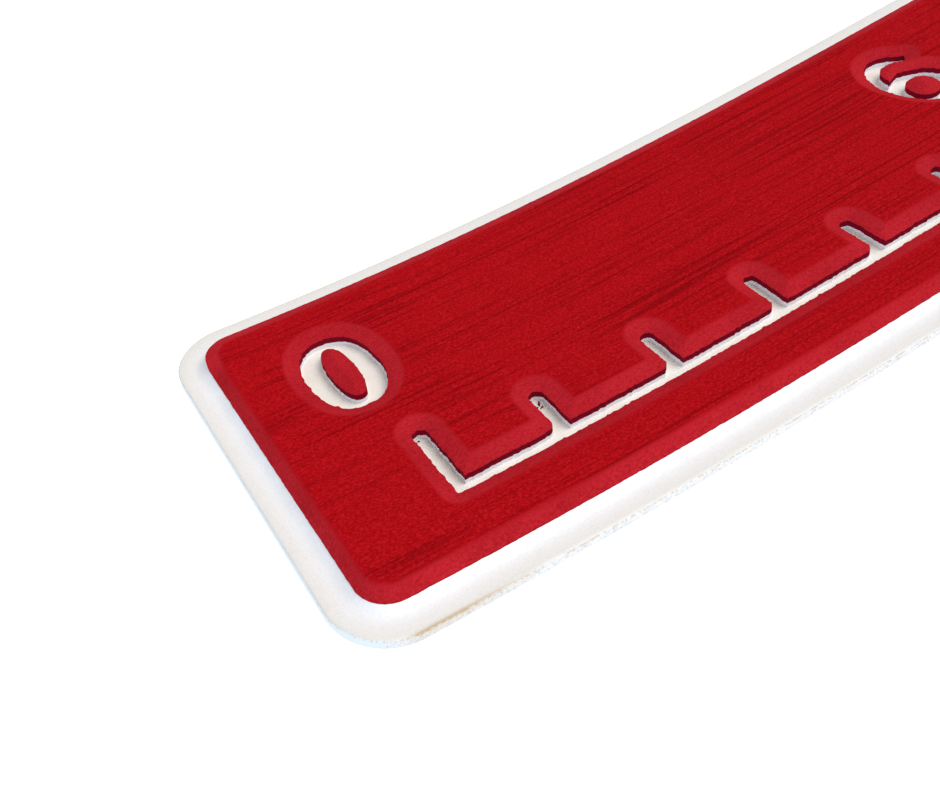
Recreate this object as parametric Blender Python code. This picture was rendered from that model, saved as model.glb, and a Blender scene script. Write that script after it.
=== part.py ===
"""Stick-on foam measuring rule, modelled flat and then curled up at its zero end.

A red foam face is laminated on a white foam base.  A router has cut the scale and its numerals through
the face into the base, milled the base down to a ledge round the face, and left a small island of face
foam inside each closed numeral.  An adhesive film covers the underside, and a release liner, slit along
its middle, covers the film.  Each half of the liner peels about its outer long edge.

Metres, +Z up, +X along the scale, +Y from the scale towards the numerals.  The origin is the centre of
the rule's bounding box, at the level of the liner's underside.
"""
import math

import bmesh
import bpy
from mathutils import Vector

# Scale
INCH = 0.0254
LAST_INCH = 36
LABEL_STEP = 6                # inches from one numeral, and one long tick, to the next
ZERO_TICK_SHIFT = 0.0034      # the zero tick is cut this far inside the even one-inch pitch
SLOT_WIDTH = 0.0030
SHORT_TICK = 0.0114           # from the base line's middle to a tick's rounded tip
LONG_TICK = 0.0156
CORNER_FLARE = 0.0018         # rounding where a tick's near side runs into the base line

# Outline
END_MARGIN = 0.0269           # from the end of the base to the even zero, at both ends
LOWER_MARGIN = 0.0199         # from the base's lower edge to the base line's middle
WIDTH = 0.0889
BORDER = 0.0055               # white ledge round the face
FAR_BORDER = 0.0071           # and on the numerals' side, where it is wider
FACE_RADIUS = 0.00635

# Numerals
NUMERAL_Y = 0.0381            # middle of the numerals above the base line
NUMERAL_SHIFT = -0.0026       # numerals sit a little before their ticks
ZERO_NUMERAL_SHIFT = -0.0002  # and the zero almost on the even zero
DIGIT_PITCH = 0.0180          # from one digit's middle to the next in a two-digit numeral
DIGIT_HALF_WIDTH = 0.0073
DIGIT_HALF_HEIGHT = 0.0111

# Levels
LAYER_GAP = 0.0002            # clearance kept between bonded layers
SHEET = 0.0002                # thickness of the liner and of the adhesive film
LEDGE_TOP = 0.0027            # milled ledge round the face
CUT_FLOOR = 0.0033            # floor of every cut, a little way into the base
JOINT_LEVEL = 0.0042          # glue line between base and face
FACE_TOP = 0.0067
LINER_SLIT = 0.0004
LINER_INSET = 0.0003          # the film and the liner stop short of the base's edge

# Curl of the zero end
CURL_START = 0.188            # distance from the even zero where the rule leaves the flat
CURL_PER_METRE = 1.20         # curvature at the very end
CURL_STATION = 0.0215         # spacing of the cross-cuts that let the layers bend
CURL_STEPS = 24

FLAT_ANGLE = 0.001            # faces closer than this, in radians, count as one plane
WELD = 1e-6                   # points closer than this count as one
ON_PLANE = 1e-7               # and points this close to a cross-cut count as lying on it
ARC_STEPS = 3                 # segments in a quarter circle
OVAL_STEPS = 18
OVAL_POWER = 0.87             # 1 would give a true ellipse, less squares it a little
CURVE_STEPS = 3               # segments between two outline points of a digit
HANDLE = 0.38                 # length of a curve's handles, as a share of the distance it spans

COLOURS = {
    "face": ((0.45, 0.008, 0.012), 0.75),
    "base": ((0.85, 0.84, 0.82), 0.8),
    "film": ((0.72, 0.70, 0.62), 0.3),
    "liner": ((0.80, 0.74, 0.58), 0.5),
}

# Digit outlines in units of half the digit's width and height.  S marks a smooth point, C a corner.
DIGITS = {
    "1": [(0.10, -1, "C"), (0.72, -1, "C"), (0.72, 1, "C"), (0.22, 1, "C"),
          (-0.62, 0.58, "C"), (-0.62, 0.22, "C"), (0.10, 0.42, "C")],
    "2": [(-1, -1, "C"), (1, -1, "C"), (1, -0.66, "C"), (-0.12, -0.66, "C"), (0.24, -0.43, "S"),
          (0.78, -0.04, "S"), (0.97, 0.40, "S"), (0.01, 1, "S"), (-0.96, 0.38, "C"), (-0.36, 0.34, "C"),
          (0, 0.67, "S"), (0.36, 0.40, "S"), (0.12, 0.07, "S"), (-0.63, -0.45, "S")],
    "3": [(-0.96, 0.50, "C"), (-0.01, 1, "S"), (0.90, 0.49, "S"), (0.60, 0.06, "C"), (1, -0.40, "S"),
          (0, -1, "S"), (-1, -0.45, "C"), (-0.40, -0.48, "C"), (0, -0.67, "S"), (0.37, -0.41, "S"),
          (0.02, -0.12, "S"), (-0.22, -0.12, "C"), (-0.22, 0.20, "C"), (0, 0.20, "S"), (0.32, 0.45, "S"),
          (0, 0.67, "S"), (-0.36, 0.44, "C")],
    "4": [(0.16, -1, "C"), (0.75, -1, "C"), (0.75, -0.60, "C"), (1.04, -0.60, "C"), (1.04, -0.27, "C"),
          (0.75, -0.27, "C"), (0.75, 1, "C"), (0.22, 1, "C"), (-1.04, -0.22, "C"), (-1.04, -0.60, "C"),
          (0.16, -0.60, "C")],
    "6": [(0.88, 0.70, "C"), (0.06, 1.04, "S"), (-0.74, 0.76, "S"), (-1, 0, "S"), (0, -1, "S"),
          (1, -0.40, "S"), (0.08, 0.30, "S"), (-0.55, 0.22, "C"), (-0.36, 0.58, "S"), (0.08, 0.71, "S"),
          (0.70, 0.56, "C")],
    "8": [(0, 1, "S"), (0.88, 0.51, "S"), (0.66, 0.07, "C"), (1, -0.43, "S"), (0, -1, "S"),
          (-1, -0.43, "S"), (-0.66, 0.07, "C"), (-0.88, 0.51, "S")],
}
# Counters: the islands of face foam that stay inside the closed digits.
COUNTERS = {
    "0": {"": ("oval", 0, 0, 0.37, 0.71)},
    "4": {"": ("outline", [(0.16, -0.27, "C"), (0.16, 0.44, "C"), (-0.50, -0.27, "C")])},
    "6": {"": ("oval", -0.02, -0.36, 0.49, 0.35)},
    "8": {"_upper": ("oval", 0, 0.47, 0.32, 0.23), "_lower": ("oval", 0, -0.42, 0.40, 0.27)},
}
NUMERAL_NAMES = {0: "zero", 6: "six", 12: "twelve", 18: "eighteen", 24: "twenty_four",
                 30: "thirty", 36: "thirty_six"}


def arc(centre, radius, first, last):
    """Points on a circular arc, angles in degrees."""
    steps = max(1, round(abs(last - first) / 90 * ARC_STEPS))
    angles = [math.radians(first + (last - first) * i / steps) for i in range(steps + 1)]
    return [(centre[0] + radius * math.cos(a), centre[1] + radius * math.sin(a)) for a in angles]


def rounded_rectangle(low, high, radius, round_corners=(True, True, True, True)):
    """Outline from the lower left corner anticlockwise; a corner may be left square."""
    corners = [(low[0], low[1], 180), (high[0], low[1], 270), (high[0], high[1], 0), (low[0], high[1], 90)]
    outline = []
    for (x, y, first), is_round in zip(corners, round_corners):
        if not is_round:
            outline.append((x, y))
            continue
        centre_x = x + radius if first in (180, 90) else x - radius
        centre_y = y + radius if first in (180, 270) else y - radius
        outline += arc((centre_x, centre_y), radius, first, first + 90)
    return outline


def oval(x, y, half_width, half_height):
    """A slightly squared ellipse."""
    outline = []
    for i in range(OVAL_STEPS):
        angle = 2 * math.pi * i / OVAL_STEPS
        c, s = math.cos(angle), math.sin(angle)
        outline.append((x + half_width * math.copysign(abs(c) ** OVAL_POWER, c),
                        y + half_height * math.copysign(abs(s) ** OVAL_POWER, s)))
    return outline


def smooth_outline(points):
    """Bezier curves through smooth points, straight into corners."""
    places = [Vector(p[:2]) for p in points]
    count = len(points)

    def heading(i):
        before = (places[i] - places[i - 1]).normalized()
        after = (places[(i + 1) % count] - places[i]).normalized()
        return (before + after).normalized()

    outline = []
    for i in range(count):
        j = (i + 1) % count
        start, end = places[i], places[j]
        reach = HANDLE * (end - start).length
        straight = (end - start).normalized()
        leave = heading(i) if points[i][2] == "S" else straight
        arrive = heading(j) if points[j][2] == "S" else straight
        steps = 1 if points[i][2] == points[j][2] == "C" else CURVE_STEPS
        a, b = start + leave * reach, end - arrive * reach
        for k in range(steps):
            t = k / steps
            point = start * (1 - t) ** 3 + a * 3 * t * (1 - t) ** 2 + b * 3 * t * t * (1 - t) + end * t ** 3
            outline.append((point.x, point.y))
    return outline


def tick_x(inch):
    """Middle of a tick, measured from the even zero."""
    return inch * INCH + (ZERO_TICK_SHIFT if inch == 0 else 0)


def scale_outline():
    """One closed outline for the base line and every tick standing on it."""
    half = SLOT_WIDTH / 2
    outline = [(tick_x(0) - half, -half), (tick_x(LAST_INCH) + half, -half)]
    for inch in range(LAST_INCH, -1, -1):
        x = tick_x(inch)
        length = LONG_TICK if inch % LABEL_STEP == 0 else SHORT_TICK
        if inch < LAST_INCH:
            outline.append((x + half, half))
        outline += arc((x, length - half), half, 0, 180)
        if inch > 0:
            corner = (x - half - CORNER_FLARE, half + CORNER_FLARE)
            outline += arc(corner, CORNER_FLARE, 0, -90)
    return outline


def place(outline, x):
    """Scale a digit outline and move it to its place on the rule."""
    return [(x + px * DIGIT_HALF_WIDTH, NUMERAL_Y + py * DIGIT_HALF_HEIGHT) for px, py in outline]


def numerals():
    """Every digit's cut, an outline with its counters as holes, and every island by its name."""
    cuts, islands = [], {}
    for inch in range(0, LAST_INCH + 1, LABEL_STEP):
        text = str(inch)
        middle = inch * INCH + (NUMERAL_SHIFT if inch else ZERO_NUMERAL_SHIFT)
        for index, digit in enumerate(text):
            x = middle + (index - (len(text) - 1) / 2) * DIGIT_PITCH
            outline = oval(0, 0, 1, 1) if digit == "0" else smooth_outline(DIGITS[digit])
            cut = [place(outline, x)]
            for suffix, (kind, *shape) in COUNTERS.get(digit, {}).items():
                counter = oval(*shape) if kind == "oval" else smooth_outline(*shape)
                cut.append(place(counter, x))
                islands[f"{NUMERAL_NAMES[inch]}_island{suffix}"] = place(counter, x)
            cuts.append(cut)
    return cuts, islands


def to_mesh(curve_object):
    """Replace a curve object by a welded mesh object of the same name."""
    name = curve_object.name
    graph = bpy.context.evaluated_depsgraph_get()
    mesh = bpy.data.meshes.new_from_object(curve_object.evaluated_get(graph))
    matrix = curve_object.matrix_world.copy()
    bpy.data.objects.remove(curve_object)
    shape = bmesh.new()
    shape.from_mesh(mesh)
    bmesh.ops.transform(shape, matrix=matrix, verts=shape.verts)
    bmesh.ops.remove_doubles(shape, verts=shape.verts, dist=WELD)
    bmesh.ops.recalc_face_normals(shape, faces=shape.faces)
    bmesh.ops.dissolve_limit(shape, angle_limit=FLAT_ANGLE, verts=shape.verts, edges=shape.edges)
    shape.to_mesh(mesh)
    shape.free()
    return bpy.data.objects.new(name, mesh)


def plate(name, collection, outlines, bottom, top):
    """A flat plate between two levels; the first outline is its edge and the others are holes."""
    curve = bpy.data.curves.new(name, "CURVE")
    curve.dimensions = "2D"
    curve.fill_mode = "BOTH"
    curve.extrude = (top - bottom) / 2
    for outline in outlines:
        spline = curve.splines.new("POLY")
        spline.points.add(len(outline) - 1)
        for point, (x, y) in zip(spline.points, outline):
            point.co = (x, y, 0, 1)
        spline.use_cyclic_u = True
    curve_object = bpy.data.objects.new(name, curve)
    curve_object.location.z = (top + bottom) / 2
    bpy.context.scene.collection.objects.link(curve_object)
    bpy.context.view_layer.update()
    mesh_object = to_mesh(curve_object)
    collection.objects.link(mesh_object)
    return mesh_object


def combine(target, operation, tool):
    """Boolean with one object or with a whole collection, applied to the target's mesh."""
    modifier = target.modifiers.new("combine", "BOOLEAN")
    modifier.operation = operation
    modifier.solver = "EXACT"
    if isinstance(tool, bpy.types.Collection):
        modifier.operand_type = "COLLECTION"
        modifier.collection = tool
    else:
        modifier.object = tool
    bpy.context.view_layer.update()
    graph = bpy.context.evaluated_depsgraph_get()
    target.data = bpy.data.meshes.new_from_object(target.evaluated_get(graph))
    target.modifiers.clear()


def heading_at(arc_length):
    """Slope of the curled end, in radians, this far past the start of the curl."""
    scale = 2 * (CURL_START + END_MARGIN) / math.pi
    return CURL_PER_METRE * scale * (1 - math.cos(arc_length / scale))


def curled(point):
    """Carry a point of the flat rule onto the curled one."""
    past = CURL_START - point.x
    if past <= 0:
        return point.copy()
    step = past / CURL_STEPS
    headings = [heading_at((i + 0.5) * step) for i in range(CURL_STEPS)]
    along = sum(math.cos(h) for h in headings) * step
    rise = sum(math.sin(h) for h in headings) * step
    tilt = heading_at(past)
    return Vector((CURL_START - along + math.sin(tilt) * point.z, point.y, rise + math.cos(tilt) * point.z))


def curl_and_centre(mesh_object):
    """Cut the curled stretch across, bend it, and move the rule's middle to the origin."""
    shape = bmesh.new()
    shape.from_mesh(mesh_object.data)
    stations = int((CURL_START + END_MARGIN) / CURL_STATION)
    for i in range(stations + 1):
        geometry = shape.verts[:] + shape.edges[:] + shape.faces[:]
        station = (CURL_START - i * CURL_STATION, 0, 0)
        bmesh.ops.bisect_plane(shape, geom=geometry, dist=ON_PLANE, plane_co=station, plane_no=(1, 0, 0))
    bmesh.ops.triangulate(shape, faces=shape.faces)
    low = curled(Vector((-END_MARGIN, 0, 0))).x
    high = LAST_INCH * INCH + END_MARGIN
    shift = Vector((-(low + high) / 2, LOWER_MARGIN - WIDTH / 2, 0))
    for vertex in shape.verts:
        vertex.co = curled(vertex.co) + shift
    shape.to_mesh(mesh_object.data)
    shape.free()


def material(name, colour, roughness):
    """A plain Principled material."""
    made = bpy.data.materials.new(name)
    made.use_nodes = True
    shader = made.node_tree.nodes["Principled BSDF"]
    shader.inputs["Base Color"].default_value = (*colour, 1)
    shader.inputs["Roughness"].default_value = roughness
    shader.inputs["Metallic"].default_value = 0
    made.diffuse_color = (*colour, 1)
    return made


def build():
    """Make every piece of the rule."""
    for old in list(bpy.data.objects):
        bpy.data.objects.remove(old)
    rule = bpy.data.collections.new("foam_rule")
    guides = bpy.data.collections.new("guides")
    cutters = bpy.data.collections.new("cutters")
    for collection in (rule, guides, cutters):
        bpy.context.scene.collection.children.link(collection)

    right = LAST_INCH * INCH + END_MARGIN
    top = WIDTH - LOWER_MARGIN
    outer_low, outer_high = (-END_MARGIN, -LOWER_MARGIN), (right, top)
    outer = rounded_rectangle(outer_low, outer_high, FACE_RADIUS + BORDER)
    face_low, face_high = (BORDER - END_MARGIN, BORDER - LOWER_MARGIN), (right - BORDER, top - FAR_BORDER)
    face = rounded_rectangle(face_low, face_high, FACE_RADIUS)
    digits, islands = numerals()
    cuts = [[scale_outline()]] + digits
    base_bottom = 2 * (SHEET + LAYER_GAP)
    base_top = JOINT_LEVEL - LAYER_GAP / 2
    face_bottom = JOINT_LEVEL + LAYER_GAP / 2

    pieces = {}
    face_outlines = [face] + [cut[0] for cut in cuts]
    pieces["face_layer"] = (plate("face_layer", rule, face_outlines, face_bottom, FACE_TOP), "face")
    for name, outline in islands.items():
        pieces[name] = (plate(name, rule, [outline], face_bottom, FACE_TOP), "face")

    base = plate("base_layer", rule, [outer], base_bottom, LEDGE_TOP)
    raised = plate("raised_base", guides, [face], (base_bottom + LEDGE_TOP) / 2, base_top)
    combine(base, "UNION", raised)
    for index, outlines in enumerate(cuts):
        plate(f"cut_{index}", cutters, outlines, CUT_FLOOR, FACE_TOP)
    combine(base, "DIFFERENCE", cutters)
    for tool in (raised, *cutters.objects):
        tool.hide_render = True
        tool.display_type = "WIRE"
    pieces["base_layer"] = (base, "base")

    low = (outer_low[0] + LINER_INSET, outer_low[1] + LINER_INSET)
    high = (outer_high[0] - LINER_INSET, outer_high[1] - LINER_INSET)
    radius = FACE_RADIUS + BORDER - LINER_INSET
    film = rounded_rectangle(low, high, radius)
    film_bottom = SHEET + LAYER_GAP
    film_top = film_bottom + SHEET
    pieces["adhesive_film"] = (plate("adhesive_film", rule, [film], film_bottom, film_top), "film")

    middle = (low[1] + high[1]) / 2
    front = rounded_rectangle(low, (high[0], middle - LINER_SLIT / 2), radius, (True, True, False, False))
    back = rounded_rectangle((low[0], middle + LINER_SLIT / 2), high, radius, (False, False, True, True))
    pieces["release_liner_front"] = (plate("release_liner_front", rule, [front], 0, SHEET), "liner")
    pieces["release_liner_back"] = (plate("release_liner_back", rule, [back], 0, SHEET), "liner")

    for name, (piece, kind) in pieces.items():
        curl_and_centre(piece)
        colour, roughness = COLOURS[kind]
        piece.data.materials.clear()
        piece.data.materials.append(material(name, colour, roughness))


build()
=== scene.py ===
"""The looks of the stick-on foam measuring rule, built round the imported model."""
import math
import random

import bmesh
import bpy
import numpy as np
from mathutils import Euler, Matrix, Vector, noise
from mathutils.geometry import delaunay_2d_cdt


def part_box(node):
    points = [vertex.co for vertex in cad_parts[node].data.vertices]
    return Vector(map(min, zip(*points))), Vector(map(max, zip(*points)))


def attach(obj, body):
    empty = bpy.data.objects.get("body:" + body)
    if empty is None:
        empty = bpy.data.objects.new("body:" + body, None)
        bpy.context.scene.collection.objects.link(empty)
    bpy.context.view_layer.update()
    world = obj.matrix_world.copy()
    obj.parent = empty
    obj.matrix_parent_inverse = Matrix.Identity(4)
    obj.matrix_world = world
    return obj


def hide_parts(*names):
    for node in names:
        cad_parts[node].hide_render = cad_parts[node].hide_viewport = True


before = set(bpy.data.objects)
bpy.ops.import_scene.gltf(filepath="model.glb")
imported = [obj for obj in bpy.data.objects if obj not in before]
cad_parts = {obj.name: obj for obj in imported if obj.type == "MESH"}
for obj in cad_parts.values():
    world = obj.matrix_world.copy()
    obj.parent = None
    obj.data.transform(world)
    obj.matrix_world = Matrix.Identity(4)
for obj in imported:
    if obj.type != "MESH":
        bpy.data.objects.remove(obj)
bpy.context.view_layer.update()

# The flat layout is in millimetres: x along the scale from the even zero, y from the base line's middle,
# z up from the liner's underside.  lay_down() curls it and carries it into the frame, in metres.
MM = 0.001

# Scale
INCH = 25.4
LAST_INCH = 36
LABEL_STEP = 6
ZERO_TICK_SHIFT = 3.4
SLOT_WIDTH = 3.0
SHORT_TICK = 11.4
LONG_TICK = 15.6
CORNER_FLARE = 1.8

# Outline
END_MARGIN = 26.9
LOWER_MARGIN = 19.9
WIDTH = 88.9
BORDER = 5.5
FAR_BORDER = 7.1              # the border on the numerals' side
FACE_RADIUS = 6.35
LINER_INSET = 0.3
FILM_INSET = 0.4              # a little more, so that an open liner clears the film's edge
LINER_SLIT = 0.4              # gap between the two halves of the liner

# Numerals
NUMERAL_Y = 38.1
NUMERAL_SHIFT = -2.6
ZERO_NUMERAL_SHIFT = -0.2
DIGIT_PITCH = 18.0
DIGIT_HALF_WIDTH = 7.3
DIGIT_HALF_HEIGHT = 11.1

# Levels
LINER_TOP = 0.2
FILM_BOTTOM = 0.25
BASE_BOTTOM = 0.6
LEDGE = 2.7                   # milled ledge round the face
CUT_FLOOR = 3.3               # floor of every cut, a little way into the base
JOINT = 4.2                   # glue line between base and face
RIM = 5.5                     # lip of every cut, at the foot of its bevel
TOP = 6.7
BEVEL = 3.1                   # width of the bevel round the cuts
CREST = 0.16                  # rounding at the top of the bevels
LIP_DROP = 0.07               # rounding at their foot
FIRST_LINE = 0.3              # first line of points away from a rough edge
EDGE_BEVEL = 2.0              # width of the steep bevel round the face's outer edge
EDGE_CREST = 0.45
EDGE_LIP = 0.35               # upright stretch under the outer bevel
FAR_SECTION = 50.0            # where the outer bevel begins to change towards the numerals' side
FAR_BLEND = 8.0
COVE = 2.1                    # width of the hollow slope from the face's edge down to the ledge
COVE_POWER = 1.6              # how hollow that slope is
SOFT_EDGE = 0.35              # rounding of the base's upper edge
HAIR = 0.02                   # clearance that keeps glued surfaces from lying in each other

# Curl of the zero end
CURL_START = 188.0
CURL_PER_MM = 0.0012          # curvature at the very end
CURL_STEPS = 24

# Rough edges
CUT_NIBBLE = 0.24             # how far the router strays along the cuts,
ISLAND_NIBBLE = 0.14          # round the islands
FACE_NIBBLE = 0.08            # and round the face
NIBBLE_LIMIT = 0.22           # furthest that a rough edge strays from its clean outline
FACE_WOBBLE = 0.10            # unevenness of the walls
ISLAND_WOBBLE = 0.08
BASE_WOBBLE = 0.06
SIDE_WOBBLE = 0.05
FIBRE = (-20.0, 48.5)         # where the loose red fibre lies on the ledge

# Marks that the materials read
SHADED_WALL_MARK = -1.2              # mark of the red foam's upright sides, which the material darkens as painted shade
MARK_LIMIT = 0.6              # the brushed mark is only wanted this near to the border
STAIN_START = -19.0           # stretch of the lower side with a brown rub mark
STAIN_END = 7.0
SIDE_STAIN = 0.35             # its strength below the base's upper edge
SMOOTH_COOL_LIT_END = -20.0              # the base's side is smooth up to here, round the zero end, and painted bluish there as cool light

# Mesh fineness
CLOSE_UP = 175.0              # outlines are finest before this distance along the scale
SPACING = 0.4
WIDE_SPACING = 0.9
GRID = 6.0                    # open, flat stretches
FINE_GRID = 0.4               # islands
SHEET_SPACING = (2.0, 3.0)    # outlines of the film and the liner
OVAL_STEPS = 72
CURVE_STEPS = 16              # points between two outline points of a digit
REACH = 6.5                   # distances are only wanted this near to an outline
BIN = 12.0                    # stretch of the rule whose distances are worked out together
BATCH = 2000
CHAIN_STEP = 0.12             # closest that two points of an offset line may lie
CHAIN_BREAK = 3 * SPACING     # and the gap that ends one
STRAIGHT = 0.97               # cosine of the bend that still counts as straight
WELD = 2e-6                   # in metres
SHARP_ANGLE = math.radians(32)

OVAL_POWER = 2 / 2.3          # 1 would give a true ellipse, less squares it a little
HANDLE = 0.38                 # length of a curve's handles, as a share of the distance it spans

# Digit outlines in units of half the digit's width and height.  S marks a smooth point, C a corner.
DIGITS = {
    "1": [(0.10, -1, "C"), (0.72, -1, "C"), (0.72, 1, "C"), (0.22, 1, "C"),
          (-0.62, 0.58, "C"), (-0.62, 0.22, "C"), (0.10, 0.42, "C")],
    "2": [(-1, -1, "C"), (1, -1, "C"), (1, -0.66, "C"), (-0.12, -0.66, "C"), (0.24, -0.43, "S"),
          (0.78, -0.04, "S"), (0.97, 0.40, "S"), (0.01, 1, "S"), (-0.96, 0.38, "C"), (-0.36, 0.34, "C"),
          (0, 0.67, "S"), (0.36, 0.40, "S"), (0.12, 0.07, "S"), (-0.63, -0.45, "S")],
    "3": [(-0.96, 0.50, "C"), (-0.01, 1, "S"), (0.90, 0.49, "S"), (0.60, 0.06, "C"), (1, -0.40, "S"),
          (0, -1, "S"), (-1, -0.45, "C"), (-0.40, -0.48, "C"), (0, -0.67, "S"), (0.37, -0.41, "S"),
          (0.02, -0.12, "S"), (-0.22, -0.12, "C"), (-0.22, 0.20, "C"), (0, 0.20, "S"), (0.32, 0.45, "S"),
          (0, 0.67, "S"), (-0.36, 0.44, "C")],
    "4": [(0.16, -1, "C"), (0.75, -1, "C"), (0.75, -0.60, "C"), (1.04, -0.60, "C"), (1.04, -0.27, "C"),
          (0.75, -0.27, "C"), (0.75, 1, "C"), (0.22, 1, "C"), (-1.04, -0.22, "C"), (-1.04, -0.60, "C"),
          (0.16, -0.60, "C")],
    "6": [(0.88, 0.70, "C"), (0.06, 1.04, "S"), (-0.74, 0.76, "S"), (-1, 0, "S"), (0, -1, "S"),
          (1, -0.40, "S"), (0.08, 0.30, "S"), (-0.55, 0.22, "C"), (-0.36, 0.58, "S"), (0.08, 0.71, "S"),
          (0.70, 0.56, "C")],
    "8": [(0, 1, "S"), (0.88, 0.51, "S"), (0.66, 0.07, "C"), (1, -0.43, "S"), (0, -1, "S"),
          (-1, -0.43, "S"), (-0.66, 0.07, "C"), (-0.88, 0.51, "S")],
}
# Counters: an oval's middle and half sizes, or an outline, by the suffix of the island's name.
COUNTERS = {
    "0": {"": ("oval", 0, 0, 0.37, 0.71)},
    "4": {"": ("outline", [(0.16, -0.27, "C"), (0.16, 0.44, "C"), (-0.50, -0.27, "C")])},
    "6": {"": ("oval", -0.02, -0.36, 0.49, 0.35)},
    "8": {"_upper": ("oval", 0, 0.47, 0.32, 0.23), "_lower": ("oval", 0, -0.42, 0.40, 0.27)},
}
NUMERAL_NAMES = {0: "zero", 6: "six", 12: "twelve", 18: "eighteen", 24: "twenty_four",
                 30: "thirty", 36: "thirty_six"}


# ---------------------------------------------------------------- outlines

def arc(centre, radius, first, last):
    """Points on a circular arc, angles in degrees."""
    steps = max(2, math.ceil(abs(math.radians(last - first)) * radius / SPACING))
    angles = np.radians(np.linspace(first, last, steps + 1))
    return [(centre[0] + radius * math.cos(a), centre[1] + radius * math.sin(a)) for a in angles]


def rounded_rectangle(inset, far_inset, radius):
    """The base's outline moved in by inset, and on the numerals' side by far_inset."""
    low_x, low_y = inset - END_MARGIN, inset - LOWER_MARGIN
    high_x = LAST_INCH * INCH + END_MARGIN - inset
    high_y = WIDTH - LOWER_MARGIN - far_inset
    outline = []
    for x, y, first in ((low_x + radius, low_y + radius, 180), (high_x - radius, low_y + radius, 270),
                        (high_x - radius, high_y - radius, 0), (low_x + radius, high_y - radius, 90)):
        outline += arc((x, y), radius, first, first + 90)
    return outline


def oval(x, y, half_width, half_height):
    """A slightly squared ellipse."""
    outline = []
    for angle in np.arange(OVAL_STEPS) * 2 * math.pi / OVAL_STEPS:
        c, s = math.cos(angle), math.sin(angle)
        outline.append((x + half_width * math.copysign(abs(c) ** OVAL_POWER, c),
                        y + half_height * math.copysign(abs(s) ** OVAL_POWER, s)))
    return outline


def smooth_outline(points):
    """Bezier curves through smooth points, straight into corners."""
    places = [Vector(p[:2]) for p in points]
    count = len(points)

    def heading(i):
        before = (places[i] - places[i - 1]).normalized()
        after = (places[(i + 1) % count] - places[i]).normalized()
        return (before + after).normalized()

    outline = []
    for i in range(count):
        j = (i + 1) % count
        start, end = places[i], places[j]
        reach = HANDLE * (end - start).length
        straight = (end - start).normalized()
        a = start + (heading(i) if points[i][2] == "S" else straight) * reach
        b = end - (heading(j) if points[j][2] == "S" else straight) * reach
        for k in range(1 if points[i][2] == points[j][2] == "C" else CURVE_STEPS):
            t = k / CURVE_STEPS
            point = start * (1 - t) ** 3 + a * 3 * t * (1 - t) ** 2 + b * 3 * t * t * (1 - t) + end * t ** 3
            outline.append((point.x, point.y))
    return outline


def tick_x(inch):
    """Middle of a tick, measured from the even zero."""
    return inch * INCH + (ZERO_TICK_SHIFT if inch == 0 else 0)


def scale_outline():
    """One closed outline for the base line and every tick standing on it."""
    half = SLOT_WIDTH / 2
    outline = [(tick_x(0) - half, -half), (tick_x(LAST_INCH) + half, -half)]
    for inch in range(LAST_INCH, -1, -1):
        x = tick_x(inch)
        length = LONG_TICK if inch % LABEL_STEP == 0 else SHORT_TICK
        if inch < LAST_INCH:
            outline.append((x + half, half))
        outline += arc((x, length - half), half, 0, 180)
        if inch > 0:
            outline += arc((x - half - CORNER_FLARE, half + CORNER_FLARE), CORNER_FLARE, 0, -90)
    return outline


def counter_clockwise(outline):
    """The outline as an array, turned round if it runs clockwise."""
    ring = np.array(outline, dtype=float)
    after = np.roll(ring, -1, axis=0)
    area = np.sum(ring[:, 0] * after[:, 1] - after[:, 0] * ring[:, 1])
    return ring if area > 0 else ring[::-1].copy()


def subdivided(outline, fine=SPACING, wide=WIDE_SPACING):
    """The outline with no stretch longer than the spacing wanted there."""
    ring = counter_clockwise(outline)
    points = []
    for start, end in zip(ring, np.roll(ring, -1, axis=0)):
        length = np.hypot(*(end - start))
        if length < 1e-4:
            continue
        way = (end - start) / length
        travelled = 0.0
        while travelled < length - 0.15:
            point = start + way * travelled
            points.append(point)
            travelled += fine if point[0] < CLOSE_UP else wide
    return np.array(points)


def edge_normals(ring):
    """Outward unit normal of each edge of a counter-clockwise ring."""
    along = np.roll(ring, -1, axis=0) - ring
    along /= np.hypot(along[:, 0], along[:, 1])[:, None]
    return np.stack([along[:, 1], -along[:, 0]], axis=1)


def nibbled(ring, amount, seed):
    """The ring with the small waves that a router leaves in foam."""
    after = edge_normals(ring)
    normal = after + np.roll(after, 1, axis=0)
    normal /= np.maximum(np.hypot(normal[:, 0], normal[:, 1]), 0.3)[:, None]
    waves = []
    for x, y in ring:
        slow = noise.noise(Vector((x * 0.5, y * 0.5, seed)))
        quick = noise.noise(Vector((x * 1.3, y * 1.3, seed + 9)))
        waves.append(0.7 * slow + quick)
    return ring + normal * np.clip(amount * np.array(waves), -NIBBLE_LIMIT, NIBBLE_LIMIT)[:, None]


def distance(points, ring):
    """Distance of each point from a closed ring, up to REACH."""
    points = np.asarray(points, dtype=float).reshape(-1, 2)
    ends = np.roll(ring, -1, axis=0)
    left, right = np.minimum(ring[:, 0], ends[:, 0]), np.maximum(ring[:, 0], ends[:, 0])
    result = np.full(len(points), REACH)
    bins = np.floor(points[:, 0] / BIN)
    for index in np.unique(bins):
        near = (right > index * BIN - REACH) & (left < (index + 1) * BIN + REACH)
        if not near.any():
            continue
        chosen = np.flatnonzero(bins == index)
        a, b = ring[near], ends[near]
        step = b - a
        for part in np.array_split(chosen, len(chosen) // BATCH + 1):
            offset = points[part][:, None, :] - a[None]
            t = np.clip((offset * step).sum(2) / np.maximum((step ** 2).sum(1), 1e-12), 0, 1)
            gap = offset - t[:, :, None] * step
            result[part] = np.minimum(result[part], np.sqrt((gap ** 2).sum(2).min(1)))
    return result


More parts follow.
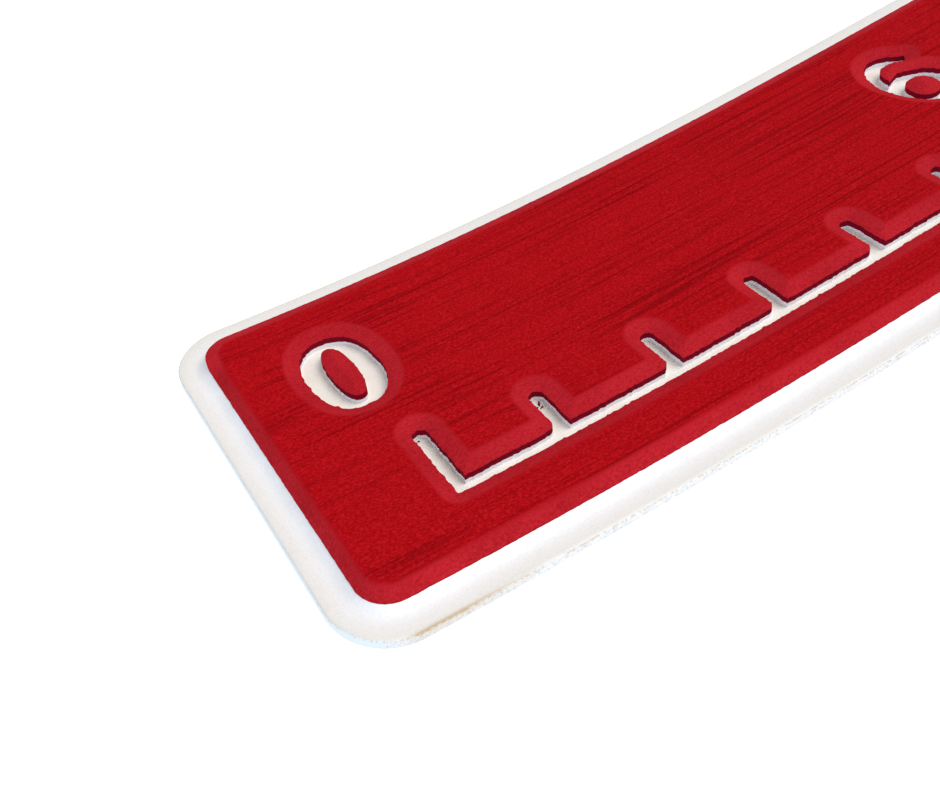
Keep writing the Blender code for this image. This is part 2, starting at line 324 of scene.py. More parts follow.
def offset_chains(ring, amount, side=1, gap=None):
    """The line that keeps a constant distance from a ring, as open chains of points.  side is 1 outside the
    ring and -1 inside it.  gap measures the distance where other rings count too."""
    normals = edge_normals(ring) * side
    before = np.roll(normals, 1, axis=0)
    turn = (before[:, 0] * normals[:, 1] - before[:, 1] * normals[:, 0]) * side
    facing = (before * normals).sum(1)
    candidates = []
    for point, n0, n1, bend, cosine in zip(ring, before, normals, turn, facing):
        if cosine > STRAIGHT:
            middle = (n0 + n1) / np.hypot(*(n0 + n1))
            candidates.append(point + middle * amount)
        elif bend > 0:
            first, last = math.atan2(n0[1], n0[0]), math.atan2(n1[1], n1[0])
            sweep = (last - first + math.pi) % (2 * math.pi) - math.pi
            for t in np.linspace(0, 1, max(3, math.ceil(abs(sweep) * amount / SPACING) + 1)):
                angle = first + sweep * t
                candidates.append(point + amount * np.array((math.cos(angle), math.sin(angle))))
        else:
            candidates.append(point + n0 * amount)
            candidates.append(point + (n0 + n1) / (1 + cosine) * amount)
            candidates.append(point + n1 * amount)
    candidates = np.array(candidates)
    kept = (gap(candidates) if gap else distance(candidates, ring)) > amount - 0.01
    chains, chain = [], []
    for point, keep in zip(candidates, kept):
        if not keep:
            continue
        if chain and np.hypot(*(point - chain[-1])) < CHAIN_STEP:
            continue
        if chain and np.hypot(*(point - chain[-1])) > CHAIN_BREAK:
            chains.append(chain)
            chain = []
        chain.append(point)
    if chain:
        chains.append(chain)
    if len(chains) == 1 and len(chain) > 2 and np.hypot(*(chain[0] - chain[-1])) < CHAIN_BREAK:
        chain.append(chain[0])
    return [c for c in chains if len(c) > 1]


def grid_points(ring, spacing):
    """A staggered grid over a ring's box."""
    low, high = ring.min(0), ring.max(0)
    points = []
    for row, y in enumerate(np.arange(low[1] + spacing / 2, high[1], spacing)):
        for x in np.arange(low[0] + spacing * (0.25 + 0.5 * (row % 2)), high[0], spacing):
            points.append((x, y))
    return np.array(points).reshape(-1, 2)


# ---------------------------------------------------------------- meshes

class Shell:
    """Collects surfaces of one closed piece in the flat layout."""

    def __init__(self):
        self.points = []
        self.faces = []
        self.slots = []
        self.marks = []

    def fill(self, level, slot, boundary, holes=(), chains=(), points=(), mark=0.0):
        """Triangles inside boundary and outside the holes.  level and mark are numbers, or functions that
        give each point's height and its value for the materials."""
        coords, edges, rings = [], [], []
        for ring in (boundary, *holes):
            rings.append(list(range(len(coords), len(coords) + len(ring))))
            coords.extend(ring)
        for chain in chains:
            edges += [(i, i + 1) for i in range(len(coords), len(coords) + len(chain) - 1)]
            coords.extend(chain)
        coords.extend(points)
        coords = [Vector((float(x), float(y))) for x, y in coords]
        found, _, triangles, _, _, origins = delaunay_2d_cdt(coords, edges, rings, 0, 1e-5, True)
        found = np.array([tuple(p) for p in found])
        triangles = np.array([t for t, o in zip(triangles, origins) if list(o) == [0]])
        heights = level(found) if callable(level) else np.full(len(found), float(level))
        start = len(self.points)
        self.points.extend(np.column_stack([found, heights]))
        self.marks.extend(mark(found) if callable(mark) else [mark] * len(found))
        self.faces.extend((triangles + start).tolist())
        self.slots.extend([slot] * len(triangles))

    def wall(self, ring, levels, slot, wobble=0.0, seed=0.0, mark=0.0):
        """An upright wall under a ring; a level is a number or one height for each point.  The rows between
        the first and the last may wobble."""
        normals = edge_normals(ring)
        count = len(ring)
        start = len(self.points)
        for row, level in enumerate(levels):
            inner = 0 < row < len(levels) - 1
            for (x, y), (nx, ny), z in zip(ring, normals, np.broadcast_to(level, count)):
                push = wobble * noise.noise(Vector((x * 1.1, y * 1.1, z * 2 + seed))) if inner else 0
                self.points.append((x + nx * push, y + ny * push, z))
        self.marks.extend(np.broadcast_to(mark, (len(levels), count)).ravel())
        for row in range(len(levels) - 1):
            for i in range(count):
                j = (i + 1) % count
                a = start + row * count
                self.faces.append([a + i, a + j, a + count + j, a + count + i])
                self.slots.append(slot)

    def build(self, name, materials):
        """The piece as a Blender object in the frame."""
        points = lay_down(np.array([tuple(p) for p in self.points]))
        mesh = bpy.data.meshes.new(name)
        mesh.from_pydata(points.tolist(), [], self.faces)
        for made in materials:
            mesh.materials.append(made)
        mesh.polygons.foreach_set("material_index", self.slots)
        mesh.attributes.new("mark", "FLOAT", "POINT").data.foreach_set("value", self.marks)
        shape = bmesh.new()
        shape.from_mesh(mesh)
        bmesh.ops.delete(shape, geom=[v for v in shape.verts if not v.link_faces], context="VERTS")
        bmesh.ops.remove_doubles(shape, verts=shape.verts, dist=WELD)
        bmesh.ops.recalc_face_normals(shape, faces=shape.faces)
        shape.to_mesh(mesh)
        shape.free()
        mesh.shade_smooth()
        mesh.set_sharp_from_angle(angle=SHARP_ANGLE)
        piece = bpy.data.objects.new(name, mesh)
        bpy.context.scene.collection.objects.link(piece)
        return piece


def frame_shift():
    """Where the flat layout's zero lies in the frame, in millimetres."""
    low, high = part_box("base_layer")
    return high[0] / MM - (LAST_INCH * INCH + END_MARGIN), low[1] / MM + LOWER_MARGIN


def lay_down(points):
    """Curl the flat layout's zero end and carry the points into the frame, in metres."""
    x, y, z = points.T
    shift_x, shift_y = frame_shift()
    scale = 2 * (CURL_START + END_MARGIN) / math.pi
    past = np.maximum(CURL_START - x, 0)
    steps = (np.arange(CURL_STEPS) + 0.5) / CURL_STEPS
    headings = CURL_PER_MM * scale * (1 - np.cos(past[:, None] * steps / scale))
    tilt = CURL_PER_MM * scale * (1 - np.cos(past / scale))
    along = np.cos(headings).mean(1) * past
    rise = np.sin(headings).mean(1) * past
    flat_x = np.where(x > CURL_START, x, CURL_START - along) + np.sin(tilt) * z
    return np.column_stack([flat_x + shift_x, y + shift_y, rise + np.cos(tilt) * z]) * MM


# ---------------------------------------------------------------- materials

def node_material(name):
    """A new material with its node tree, shader and object coordinates."""
    made = bpy.data.materials.new(name)
    made.use_nodes = True
    nodes, links = made.node_tree.nodes, made.node_tree.links
    shader = nodes["Principled BSDF"]
    place = nodes.new("ShaderNodeTexCoord").outputs["Object"]
    return made, nodes, links, shader, place


def stretched(nodes, links, place, scale):
    """Coordinates scaled differently along each axis."""
    mapping = nodes.new("ShaderNodeMapping")
    mapping.inputs["Scale"].default_value = scale
    links.new(place, mapping.inputs["Vector"])
    return mapping.outputs["Vector"]


def noise_value(nodes, links, vector, scale, detail=3.0, roughness=0.55):
    """Value of a noise texture."""
    texture = nodes.new("ShaderNodeTexNoise")
    texture.inputs["Scale"].default_value = scale
    texture.inputs["Detail"].default_value = detail
    texture.inputs["Roughness"].default_value = roughness
    links.new(vector, texture.inputs["Vector"])
    return texture.outputs["Fac"]


def ramp(nodes, links, value, stops):
    """Colour ramp with the given (position, colour) stops."""
    made = nodes.new("ShaderNodeValToRGB")
    elements = made.color_ramp.elements
    while len(elements) < len(stops):
        elements.new(0.5)
    for element, (position, colour) in zip(elements, stops):
        element.position = position
        element.color = (*colour, 1) if len(colour) == 3 else colour
    links.new(value, made.inputs["Fac"])
    return made.outputs["Color"]


def mixed(nodes, links, kind, factor, first, second):
    """Blend two colours; factor may be a number or a socket."""
    mix = nodes.new("ShaderNodeMix")
    mix.data_type = "RGBA"
    mix.blend_type = kind
    if isinstance(factor, float):
        mix.inputs["Factor"].default_value = factor
    else:
        links.new(factor, mix.inputs["Factor"])
    for socket, value in ((mix.inputs["A"], first), (mix.inputs["B"], second)):
        if isinstance(value, tuple):
            socket.default_value = (*value, 1)
        else:
            links.new(value, socket)
    return mix.outputs["Result"]


def bump(nodes, links, height, strength, depth, normal=None):
    """Bump node of that depth in metres."""
    made = nodes.new("ShaderNodeBump")
    made.inputs["Strength"].default_value = strength
    made.inputs["Distance"].default_value = depth
    links.new(height, made.inputs["Height"])
    if normal is not None:
        links.new(normal, made.inputs["Normal"])
    return made.outputs["Normal"]


def mark_value(nodes):
    """The mesh's own value for its material."""
    attribute = nodes.new("ShaderNodeAttribute")
    attribute.attribute_name = "mark"
    return attribute.outputs["Fac"]


def arithmetic(nodes, links, operation, first, second):
    """Math node on sockets or numbers."""
    made = nodes.new("ShaderNodeMath")
    made.operation = operation
    for socket, value in zip(made.inputs, (first, second)):
        if isinstance(value, float):
            socket.default_value = value
        else:
            links.new(value, socket)
    return made.outputs["Value"]


def grey(value):
    """An even grey."""
    return (value, value, value)


def red_foam():
    """Red foam: brushed along the rule on its top, smooth on the bevels, and darkened on the upright sides
    as painted shade.  Its mark is the distance into the brushed top."""
    made, nodes, links, shader, place = node_material("red_foam")
    dashes = noise_value(nodes, links, stretched(nodes, links, place, (1700, 3000, 1700)), 1.0, 2.0, 0.6)
    lines = noise_value(nodes, links, stretched(nodes, links, place, (22, 1500, 260)), 1.0, 2.0, 0.5)
    groups = noise_value(nodes, links, stretched(nodes, links, place, (12, 150, 60)), 1.0, 2.0, 0.5)
    cloud = noise_value(nodes, links, place, 90.0, 3.0, 0.5)
    mark = mark_value(nodes)

    brushed = ramp(nodes, links, dashes, [(0.34, (0.275, 0.0011, 0.0035)), (0.50, (0.365, 0.0020, 0.0055)),
                                          (0.66, (0.430, 0.0075, 0.0110))])
    line_shade = ramp(nodes, links, lines, [(0.38, (0.60, 0.40, 0.50)), (0.50, (1, 1, 1))])
    line_strength = ramp(nodes, links, groups, [(0.36, grey(0.15)), (0.60, grey(0.9))])
    brushed = mixed(nodes, links, "MULTIPLY", line_strength, brushed, line_shade)

    cut = ramp(nodes, links, dashes, [(0.3, (0.340, 0.0060, 0.0130)), (0.7, (0.480, 0.0180, 0.0260))])
    cut_shade = ramp(nodes, links, cloud, [(0.3, (0.88, 0.8, 0.8)), (0.65, (1.04, 1.1, 1.1))])
    cut = mixed(nodes, links, "MULTIPLY", 1.0, cut, cut_shade)
    # painted shade: the red walls under each lip are darkened to a deep maroon, as if they stood in shadow
    upright = ramp(nodes, links, arithmetic(nodes, links, "SUBTRACT", mark, SHADED_WALL_MARK),
                   [(0.15, grey(1)), (0.50, grey(0))])
    cut = mixed(nodes, links, "MIX", upright, cut, (0.19, 0.003, 0.016))

    fray = arithmetic(nodes, links, "MULTIPLY", arithmetic(nodes, links, "SUBTRACT", dashes, 0.5), 2.0)
    border = arithmetic(nodes, links, "ADD", mark, fray)
    is_brushed = ramp(nodes, links, arithmetic(nodes, links, "ADD", border, 0.5),
                      [(0.15, grey(0)), (0.85, grey(1))])
    links.new(mixed(nodes, links, "MIX", is_brushed, cut, brushed), shader.inputs["Base Color"])

    shader.inputs["Roughness"].default_value = 0.85
    shader.inputs["Specular IOR Level"].default_value = 0.03
    relief = arithmetic(nodes, links, "MULTIPLY", arithmetic(nodes, links, "ADD", dashes, lines), is_brushed)
    rough = bump(nodes, links, relief, 0.5, 0.00008)
    links.new(bump(nodes, links, dashes, 0.25, 0.00006, rough), shader.inputs["Normal"])
    return made


def ledge_foam():
    """Milled white foam, lighter and bluish beside the face as painted light, creamy outwards, with tool
    lines that follow the edge.
    Its mark runs from 0 at the face to 1 at the outer edge, and higher where the edge is stained."""
    made, nodes, links, shader, place = node_material("ledge_foam")
    mark = mark_value(nodes)
    grain = noise_value(nodes, links, place, 2400.0, 3.0, 0.65)
    patches = noise_value(nodes, links, place, 140.0, 3.0, 0.55)
    shifted = arithmetic(nodes, links, "ADD", arithmetic(nodes, links, "MULTIPLY", patches, 0.3), mark)
    # painted light: next to the red face the ledge is lighter and bluish, standing in for the cool fill and
    # lifting the shadow that the face casts on it; the brown stop is the real rub mark
    stain_and_painted_light = ramp(nodes, links, arithmetic(nodes, links, "MULTIPLY", shifted, 0.5),
                [(0.08, (0.90, 0.90, 0.94)), (0.26, (0.77, 0.765, 0.77)), (0.48, (0.73, 0.715, 0.695)),
                 (0.60, (0.70, 0.675, 0.64)), (0.95, (0.50, 0.38, 0.25))])
    shade = ramp(nodes, links, grain, [(0.34, grey(0.93)), (0.52, grey(1))])
    links.new(mixed(nodes, links, "MULTIPLY", 1.0, stain_and_painted_light, shade), shader.inputs["Base Color"])
    shader.inputs["Roughness"].default_value = 0.75
    shader.inputs["Specular IOR Level"].default_value = 0.2
    along_edge = nodes.new("ShaderNodeCombineXYZ")
    links.new(arithmetic(nodes, links, "MULTIPLY", mark, 16.0), along_edge.inputs["X"])
    tool_lines = noise_value(nodes, links, along_edge.outputs["Vector"], 1.0, 2.0, 0.5)
    lined = bump(nodes, links, tool_lines, 0.25, 0.00008)
    links.new(bump(nodes, links, grain, 0.5, 0.00006, lined), shader.inputs["Normal"])
    return made


def milled_foam(name, dark, light):
    """Smooth foam inside the cuts."""
    made, nodes, links, shader, place = node_material(name)
    grain = noise_value(nodes, links, place, 1800.0, 3.0, 0.6)
    cloud = noise_value(nodes, links, place, 260.0, 3.0, 0.5)
    colour = ramp(nodes, links, cloud, [(0.3, dark), (0.65, light)])
    shade = ramp(nodes, links, grain, [(0.3, grey(0.95)), (0.5, grey(1))])
    links.new(mixed(nodes, links, "MULTIPLY", 1.0, colour, shade), shader.inputs["Base Color"])
    shader.inputs["Roughness"].default_value = 0.6
    shader.inputs["Specular IOR Level"].default_value = 0.3
    links.new(bump(nodes, links, grain, 0.3, 0.00004), shader.inputs["Normal"])
    return made


def side_foam():
    """Sawn white foam with open pores; its mark is the strength of a brown rub mark, or below zero that of
    the smooth stretch round the zero end, painted bluish as cool light."""
    made, nodes, links, shader, place = node_material("side_foam")
    pores = noise_value(nodes, links, place, 2600.0, 2.0, 0.6)
    cloud = noise_value(nodes, links, stretched(nodes, links, place, (300, 300, 900)), 1.0, 3.0, 0.55)
    white = ramp(nodes, links, pores, [(0.36, (0.56, 0.57, 0.59)), (0.50, (0.75, 0.755, 0.77))])
    shade = ramp(nodes, links, cloud, [(0.3, grey(0.90)), (0.6, grey(1))])
    white = mixed(nodes, links, "MULTIPLY", 1.0, white, shade)
    mark = mark_value(nodes)
    # painted light: round the zero end the side turns an even pale blue without pore specks; the smoothness
    # is the foam's own, the blue stands in for the cool fill on that end
    smooth_cool_lit = ramp(nodes, links, arithmetic(nodes, links, "MULTIPLY", mark, -1.0),
                [(0.1, grey(0)), (0.8, grey(1))])
    white = mixed(nodes, links, "MIX", smooth_cool_lit, white, (0.68, 0.76, 0.86))
    patchy = arithmetic(nodes, links, "MULTIPLY", mark, arithmetic(nodes, links, "ADD", cloud, 0.4))
    links.new(mixed(nodes, links, "MIX", patchy, white, (0.50, 0.38, 0.25)), shader.inputs["Base Color"])
    shader.inputs["Roughness"].default_value = 0.75
    shader.inputs["Specular IOR Level"].default_value = 0.25
    links.new(bump(nodes, links, pores, 0.5, 0.00008), shader.inputs["Normal"])
    return made


def sheet_material(name, colour, roughness):
    """Film or paper: faint fibres, nearly smooth."""
    made, nodes, links, shader, place = node_material(name)
    fibres = noise_value(nodes, links, stretched(nodes, links, place, (250, 900, 900)), 1.0, 4.0, 0.6)
    dark = tuple(c * 0.93 for c in colour)
    links.new(ramp(nodes, links, fibres, [(0.35, dark), (0.65, colour)]), shader.inputs["Base Color"])
    shader.inputs["Roughness"].default_value = roughness
    links.new(bump(nodes, links, fibres, 0.3, 0.00003), shader.inputs["Normal"])
    return made


# ---------------------------------------------------------------- the rule

# Rows of the walls inside the cuts, from the top down, and the marks of the red ones
FACE_WALL = (RIM - 0.20, JOINT + 0.4, JOINT)
FACE_WALL_MARKS = np.array([[-MARK_LIMIT], [SHADED_WALL_MARK], [SHADED_WALL_MARK], [SHADED_WALL_MARK]])
BASE_WALL = (JOINT - HAIR, (JOINT + CUT_FLOOR) / 2, CUT_FLOOR)
SIDE_ROWS = (1.9, 1.3, BASE_BOTTOM)       # rows of the base's outer side, below its soft edge


def digit_shapes():
    """Every digit's clean outline, and the counter outlines by their island's name."""
    digits, islands = [], {}
    for inch in range(0, LAST_INCH + 1, LABEL_STEP):
        text = str(inch)
        middle = inch * INCH + (NUMERAL_SHIFT if inch else ZERO_NUMERAL_SHIFT)
        for index, digit in enumerate(text):
            x = middle + (index - (len(text) - 1) / 2) * DIGIT_PITCH

            def placed(shape):
                return subdivided([(x + px * DIGIT_HALF_WIDTH, NUMERAL_Y + py * DIGIT_HALF_HEIGHT)
                                   for px, py in shape])

            counters = []
            for suffix, (kind, *shape) in COUNTERS.get(digit, {}).items():
                counter = placed(oval(*shape) if kind == "oval" else smooth_outline(*shape))
                counters.append(counter)
                islands[f"{NUMERAL_NAMES[inch]}_island{suffix}"] = counter
            outline = placed(oval(0, 0, 1, 1) if digit == "0" else smooth_outline(DIGITS[digit]))
            digits.append((outline, counters))
    return digits, islands


def soft_minimum(first, second, blend):
    """The lower of two heights, rounded where they cross."""
    share = np.clip(0.5 + 0.5 * (second - first) / blend, 0, 1)
    return second * (1 - share) + first * share - blend * share * (1 - share)


def bevel_height(gap):
    """Height of the red foam at a distance from the lip of a cut."""
    soft_lip = LIP_DROP * np.clip(1 - gap / FIRST_LINE, 0, 1) ** 2
    return soft_minimum(RIM + (TOP - RIM) * gap / BEVEL, TOP, CREST) - soft_lip


# Lines of points that follow the outlines, by their distance from them
BEVEL_LINES = (FIRST_LINE, BEVEL / 3, 2 * BEVEL / 3, BEVEL - 0.5, BEVEL - 0.17, BEVEL + 0.17, BEVEL + 0.55)
ISLAND_LINES = (FIRST_LINE, 0.9, 1.8, BEVEL - 0.14, BEVEL + 0.14)
EDGE_LINES = (0.5, 1.1, EDGE_BEVEL - 0.3, EDGE_BEVEL, EDGE_BEVEL + 0.3,
              BEVEL - 0.3, BEVEL, BEVEL + 0.3, BEVEL + 0.8)
LEDGE_LINES = (0.3, 0.6, 1.0, 1.5, COVE, COVE + 0.7, COVE + 1.6)
SOFT_EDGE_LINES = (0.04, 0.12, 0.22, 0.36, 0.8)

digits, islands = digit_shapes()
clean_cuts = [(subdivided(scale_outline()), [])] + digits
rough_cuts = []
rough_islands = {}
for number, (outline, _) in enumerate(clean_cuts):
    rough_cuts.append(nibbled(outline, CUT_NIBBLE, number * 3.0))
for number, (name, counter) in enumerate(islands.items()):
    rough_islands[name] = nibbled(counter, ISLAND_NIBBLE, 50 + number * 3.0)

face_ring = subdivided(rounded_rectangle(BORDER, FAR_BORDER, FACE_RADIUS))
face_edge = nibbled(face_ring, FACE_NIBBLE, 80.0)
base_ring = subdivided(rounded_rectangle(0, 0, FACE_RADIUS + BORDER))


def to_cuts(points):
    """Distance from the nearest cut's clean lip."""
    return np.minimum.reduce([distance(points, outline) for outline, _ in clean_cuts])


def edge_section(points):
    """Lip height and width of the bevel round the face.  It is steep, but like the cuts' bevel on the
    numerals' side."""
    far = np.clip((points[:, 1] - FAR_SECTION) / FAR_BLEND, 0, 1)
    return JOINT + EDGE_LIP + far * (RIM - JOINT - EDGE_LIP), EDGE_BEVEL + far * (BEVEL - EDGE_BEVEL)


def face_height(points):
    """Height of the red face's upper side."""
    lip, width = edge_section(points)
    edge = lip + (TOP - lip) * distance(points, face_ring) / width
    return soft_minimum(edge, bevel_height(to_cuts(points)), EDGE_CREST)


def brushed_mark(points):
    """Distance into the brushed top, in millimetres; below zero on the bevels."""
    into = np.minimum(to_cuts(points) - BEVEL, distance(points, face_ring) - edge_section(points)[1])
    return np.clip(into, -MARK_LIMIT, MARK_LIMIT)


def open_grid(ring, spacing, keep_off, margin):
    """Grid points that stay clear of the cuts and of the ring itself."""
    points = grid_points(ring, spacing)
    points = points[distance(points, ring) > margin]
    if keep_off is not None:
        points = points[to_cuts(points) > keep_off]
    return points


def inside(points, ring):
    """Which points lie inside a ring."""
    x, y = points[:, 0][:, None], points[:, 1][:, None]
    a, b = ring, np.roll(ring, -1, axis=0)
    crosses = (a[:, 1] > y) != (b[:, 1] > y)
    rise = np.where(b[:, 1] == a[:, 1], 1e-9, b[:, 1] - a[:, 1])
    at = a[:, 0] + (y - a[:, 1]) * (b[:, 0] - a[:, 0]) / rise
    return (crosses & (x < at)).sum(1) % 2 == 1


def make_face(materials):
    """The red face sheet."""
    shell = Shell()
    chains = []
    for outline, _ in clean_cuts:
        for amount in BEVEL_LINES:
            chains += offset_chains(outline, amount, gap=to_cuts)
    for amount in EDGE_LINES:
        chains += offset_chains(face_ring, amount, side=-1)
    points = open_grid(face_ring, GRID, BEVEL + 1, BEVEL + 1)
    shell.fill(face_height, 0, face_edge, rough_cuts, chains, points, brushed_mark)
    shell.fill(JOINT, 0, face_edge, rough_cuts, (), points, -MARK_LIMIT)
    shell.wall(face_edge, (face_height(face_edge), JOINT), 0, mark=-MARK_LIMIT)
    for number, ring in enumerate(rough_cuts):
        shell.wall(ring, (face_height(ring), *FACE_WALL), 0, FACE_WOBBLE, number, FACE_WALL_MARKS)
    return shell.build("red_face", materials)


def make_island(name, materials):
    """One island of face foam, beveled all round like a hipped roof."""
    clean, rough = islands[name], rough_islands[name]
    shell = Shell()
    chains = []
    for amount in ISLAND_LINES:
        chains += offset_chains(clean, amount, side=-1)
    points = grid_points(clean, FINE_GRID)
    points = points[(distance(points, clean) > 0.45) & inside(points, clean)]
    shell.fill(lambda p: bevel_height(distance(p, clean)), 0, rough, (), chains, points, -MARK_LIMIT)
    shell.fill(JOINT, 0, rough, mark=-MARK_LIMIT)
    rows = (bevel_height(distance(rough, clean)), *FACE_WALL)
    shell.wall(rough, rows, 0, ISLAND_WOBBLE, 5.0, FACE_WALL_MARKS)
    return shell.build(f"{name}_foam", materials)


def ledge_height(points):
    """Height of the white ledge: a hollow slope from the red edge, then flat, with a soft outer edge."""
    out = distance(points, face_ring)
    slope = (JOINT - HAIR - LEDGE) * np.clip(1 - out / COVE, 0, 1) ** COVE_POWER
    return LEDGE + slope - SOFT_EDGE * np.clip(1 - distance(points, base_ring) / SOFT_EDGE, 0, 1) ** 2


def ledge_mark(points):
    """From 0 at the red edge to 1 at the base's outer edge, and above that where the edge is stained."""
    out = distance(points, face_ring) / BORDER
    near_edge = np.clip(1 - distance(points, base_ring) / 0.5, 0, 1)
    return np.minimum(out, 1) + near_edge * stain(points)


def stain(points):
    """Strength of the brown rub mark just past the lower corner of the zero end."""
    x, y = points[:, 0], points[:, 1]
    along = np.clip((x - STAIN_START) / 3, 0, 1) * np.clip((STAIN_END - x) / 16, 0, 1)
    return along * (y < 3 - LOWER_MARGIN)


def smooth_skin(points):
    """Where the base's outer side is smooth and painted bluish as cool light: round the zero end."""
    return np.clip((SMOOTH_COOL_LIT_END - points[:, 0]) / 3, 0, 1)


def make_base(materials):
    """The white base sheet with its ledge, its raised middle and the cuts' floors."""
    ledge, floor, side, cut_side = range(4)
    shell = Shell()
    chains = []
    for amount in LEDGE_LINES:
        chains += offset_chains(face_ring, amount)
    for amount in SOFT_EDGE_LINES:
        chains += offset_chains(base_ring, amount, side=-1)
    shell.fill(ledge_height, ledge, base_ring, [face_edge], chains, (), ledge_mark)
    hidden = open_grid(face_ring, GRID, 0.5, 1.0)
    shell.fill(JOINT - HAIR, ledge, face_edge, rough_cuts, (), hidden)
    shell.wall(face_edge, (JOINT - HAIR, ledge_height(face_edge)), ledge)
    for number, ring in enumerate(rough_cuts):
        counters = [rough_islands[name] for name in rough_islands
                    if inside(islands[name][:1], clean_cuts[number][0])[0]]
        shell.fill(CUT_FLOOR, floor, ring, counters)
        shell.wall(ring, BASE_WALL, cut_side, BASE_WOBBLE, number)
        for counter in counters:
            shell.fill(JOINT - HAIR, cut_side, counter)
            shell.wall(counter, BASE_WALL, cut_side, BASE_WOBBLE, number + 20)
    rows = (ledge_height(base_ring), *SIDE_ROWS)
    rub = np.where(np.arange(len(rows))[:, None] == 0, 1, SIDE_STAIN) * stain(base_ring)
    shell.wall(base_ring, rows, side, SIDE_WOBBLE, 40.0, rub - smooth_skin(base_ring))
    shell.fill(BASE_BOTTOM, side, base_ring, (), (), open_grid(base_ring, GRID, None, 1.0))
    return shell.build("white_base", materials)


def make_crumbs(material):
    """Crumbs of red foam that the router left in the first two ticks, and a loose red fibre."""
    shape = bmesh.new()
    chance = random.Random(7)
    spots = []
    for x, y, count, reach in ((tick_x(0), LONG_TICK, 4, 0.9), (tick_x(1), SHORT_TICK, 16, 3.0)):
        for _ in range(count):
            across, along = chance.uniform(-0.8, 1.0), chance.uniform(0.5, reach)
            spots.append((x + across, y - along, chance.uniform(0.10, 0.24)))
    for x, y, radius in spots:
        lump = bmesh.ops.create_icosphere(shape, subdivisions=1, radius=radius)["verts"]
        stretch = Vector((chance.uniform(0.6, 1.5), chance.uniform(0.6, 1.5), 0.7))
        turn = Matrix.Rotation(chance.uniform(0, math.pi), 3, "Z")
        for vertex in lump:
            rough = 1 + 0.5 * noise.noise(vertex.co * 9 + Vector((x, y, 0)))
            vertex.co = turn @ (vertex.co * stretch * rough) + Vector((x, y, CUT_FLOOR + 0.6 * radius))
    fibre = bmesh.ops.create_cone(shape, segments=6, radius1=0.07, radius2=0.05, depth=2.6, cap_ends=True)
    for vertex in fibre["verts"]:
        across, up, along = vertex.co
        bend = 0.25 * math.cos(along)
        vertex.co = Vector((FIBRE[0] + along, FIBRE[1] + bend + across, LEDGE + 0.1 + up))
    mesh = bpy.data.meshes.new("router_crumbs")
    placed = lay_down(np.array([tuple(v.co) for v in shape.verts]))
    for vertex, co in zip(shape.verts, placed):
        vertex.co = co
    shape.to_mesh(mesh)
    shape.free()
    mesh.materials.append(material)
    mesh.shade_smooth()
    piece = bpy.data.objects.new("router_crumbs", mesh)
    bpy.context.scene.collection.objects.link(piece)
    return piece


def crumb_foam():
    """Dark red foam dust."""
    made, nodes, links, shader, place = node_material("crumb_foam")
    grain = noise_value(nodes, links, place, 3000.0, 2.0, 0.6)
    links.new(ramp(nodes, links, grain, [(0.35, (0.06, 0.004, 0.008)), (0.65, (0.20, 0.01, 0.02))]),
              shader.inputs["Base Color"])
    shader.inputs["Roughness"].default_value = 0.9
    shader.inputs["Specular IOR Level"].default_value = 0.05
    return made


def make_liner(name, side, materials):
    """One half of the release liner, below (-1) or above (1) the slit along its middle."""
    middle = WIDTH / 2 - LOWER_MARGIN
    whole = rounded_rectangle(LINER_INSET, LINER_INSET, FACE_RADIUS + BORDER - LINER_INSET)
    limit = middle + side * LINER_SLIT / 2
    ends = [x for x, _ in whole]
    corners = [(min(ends), limit), (max(ends), limit)]
    kept = [(x, y) for x, y in whole if (y - limit) * side > 0]
    ring = subdivided(kept + corners if side > 0 else corners[::-1] + kept, *SHEET_SPACING)
    points = open_grid(ring, GRID, None, 1.0)
    points = points[inside(points, ring)]
    shell = Shell()
    shell.fill(LINER_TOP, 0, ring, (), (), points)
    shell.fill(0.0, 0, ring, (), (), points)
    shell.wall(ring, (LINER_TOP, 0.0), 0)
    return shell.build(name, materials)


def make_film(materials):
    """The adhesive film between base and liner."""
    outline = rounded_rectangle(FILM_INSET, FILM_INSET, FACE_RADIUS + BORDER - FILM_INSET)
    ring = subdivided(outline, *SHEET_SPACING)
    points = open_grid(ring, GRID, None, 1.0)
    shell = Shell()
    shell.fill(BASE_BOTTOM - HAIR, 0, ring, (), (), points)
    shell.fill(FILM_BOTTOM, 0, ring, (), (), points)
    shell.wall(ring, (BASE_BOTTOM - HAIR, FILM_BOTTOM), 0)
    return shell.build("sticky_film", materials)


red = red_foam()

face = make_face([red])
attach(face, "rule")
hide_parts("face_layer")

for island in islands:
    piece = make_island(island, [red])
    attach(piece, "rule")
    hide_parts(island)

# painted light: the cuts are one white foam; the floors are painted cream and the walls bluish, standing in
# for warm and cool light on them
cut_floor = milled_foam("cut_floor", (0.79, 0.745, 0.68), (0.85, 0.82, 0.775))
cut_side = milled_foam("cut_side", (0.80, 0.80, 0.85), (0.87, 0.87, 0.92))
base = make_base([ledge_foam(), cut_floor, side_foam(), cut_side])
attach(base, "rule")
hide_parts("base_layer")

crumbs = make_crumbs(crumb_foam())
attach(crumbs, "rule")

film = make_film([sheet_material("adhesive_skin", (0.72, 0.71, 0.66), 0.25)])
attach(film, "rule")
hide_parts("adhesive_film")

paper = sheet_material("release_paper", (0.80, 0.78, 0.72), 0.4)
for body, node, side in (("liner_front", "release_liner_front", -1),
                         ("liner_back", "release_liner_back", 1)):
    liner = make_liner(node + "_paper", side, [paper])
    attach(liner, body)
    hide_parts(node)

# ---------------------------------------------------------------- stage, light and camera

FLOOR_HALF_SIZE = 60.0        # metres, so that its edge stays out of sight
FLOOR_LEVEL = -0.0005
LENS = 39.72
CAMERA_PLACE = (-28.33, -106.43, 147.97)  # from the even zero on the base line
CAMERA_TURN = (43.13, 11.33, -31.84)


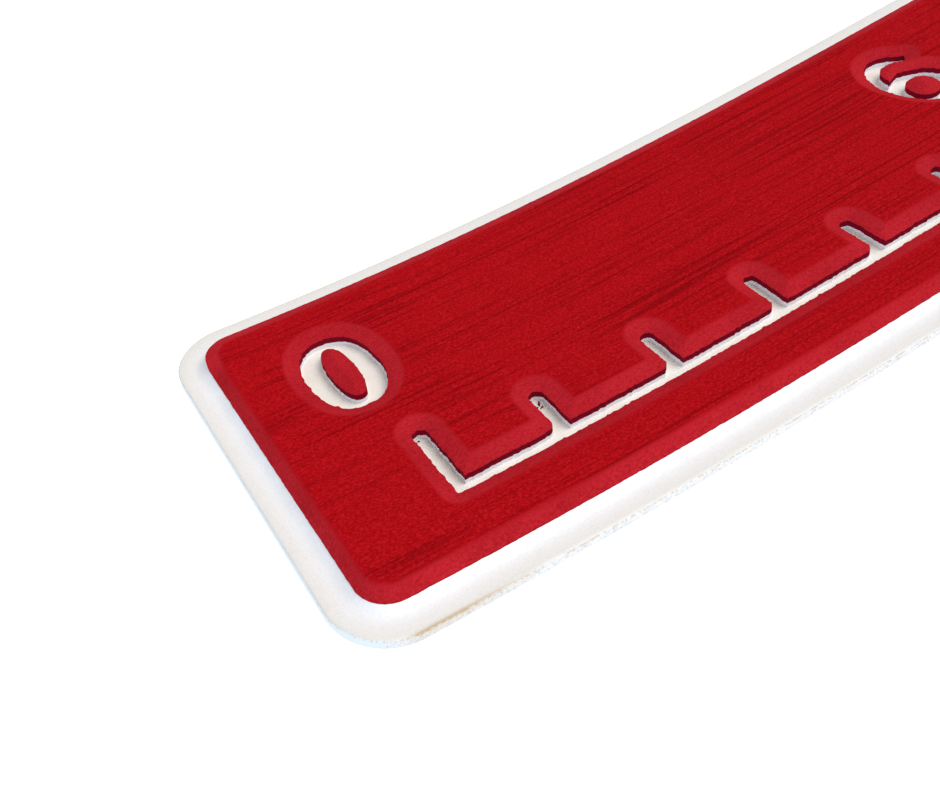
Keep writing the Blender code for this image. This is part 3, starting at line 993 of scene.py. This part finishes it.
def make_floor():
    """A plain pale floor."""
    mesh = bpy.data.meshes.new("floor")
    shape = bmesh.new()
    bmesh.ops.create_grid(shape, x_segments=1, y_segments=1, size=FLOOR_HALF_SIZE)
    shape.to_mesh(mesh)
    shape.free()
    floor = bpy.data.objects.new("floor", mesh)
    floor.location.z = FLOOR_LEVEL
    bpy.context.scene.collection.objects.link(floor)
    made, _, _, shader, _ = node_material("pale_floor")
    shader.inputs["Base Color"].default_value = (0.93, 0.93, 0.93, 1)
    shader.inputs["Roughness"].default_value = 0.9
    shader.inputs["Emission Color"].default_value = (1, 1, 1, 1)
    shader.inputs["Emission Strength"].default_value = 0.5
    mesh.materials.append(made)


def make_light(name, azimuth, elevation, strength, angle, colour):
    """A soft, even light from far off.  Azimuth is counted from +X towards +Y."""
    data = bpy.data.lights.new(name, "SUN")
    data.energy = strength
    data.angle = math.radians(angle)
    data.color = colour
    light = bpy.data.objects.new(name, data)
    light.rotation_euler = (math.radians(90 - elevation), 0, math.radians(azimuth + 90))
    bpy.context.scene.collection.objects.link(light)


def make_world():
    """Even, slightly cool surroundings."""
    world = bpy.data.worlds.new("studio")
    world.use_nodes = True
    background = world.node_tree.nodes["Background"]
    background.inputs["Color"].default_value = (0.98, 0.99, 1.0, 1)
    background.inputs["Strength"].default_value = 0.41
    bpy.context.scene.world = world


def make_camera():
    """The camera, placed from the scale's zero."""
    shift_x, shift_y = frame_shift()
    data = bpy.data.cameras.new("camera")
    data.sensor_width = 36
    data.lens = LENS
    camera = bpy.data.objects.new("camera", data)
    camera.location = (Vector(CAMERA_PLACE) + Vector((shift_x, shift_y, 0))) * MM
    camera.rotation_euler = Euler([math.radians(a) for a in CAMERA_TURN])
    data.clip_start = 0.01
    bpy.context.scene.collection.objects.link(camera)
    bpy.context.scene.camera = camera


make_floor()
make_world()
make_light("key", -25, 54, 2.5, 45, (1.0, 0.97, 0.94))
make_light("cool_fill", 208, 27, 1.1, 40, (0.70, 0.85, 1.0))
make_camera()
bpy.context.scene.view_settings.view_transform = "Standard"
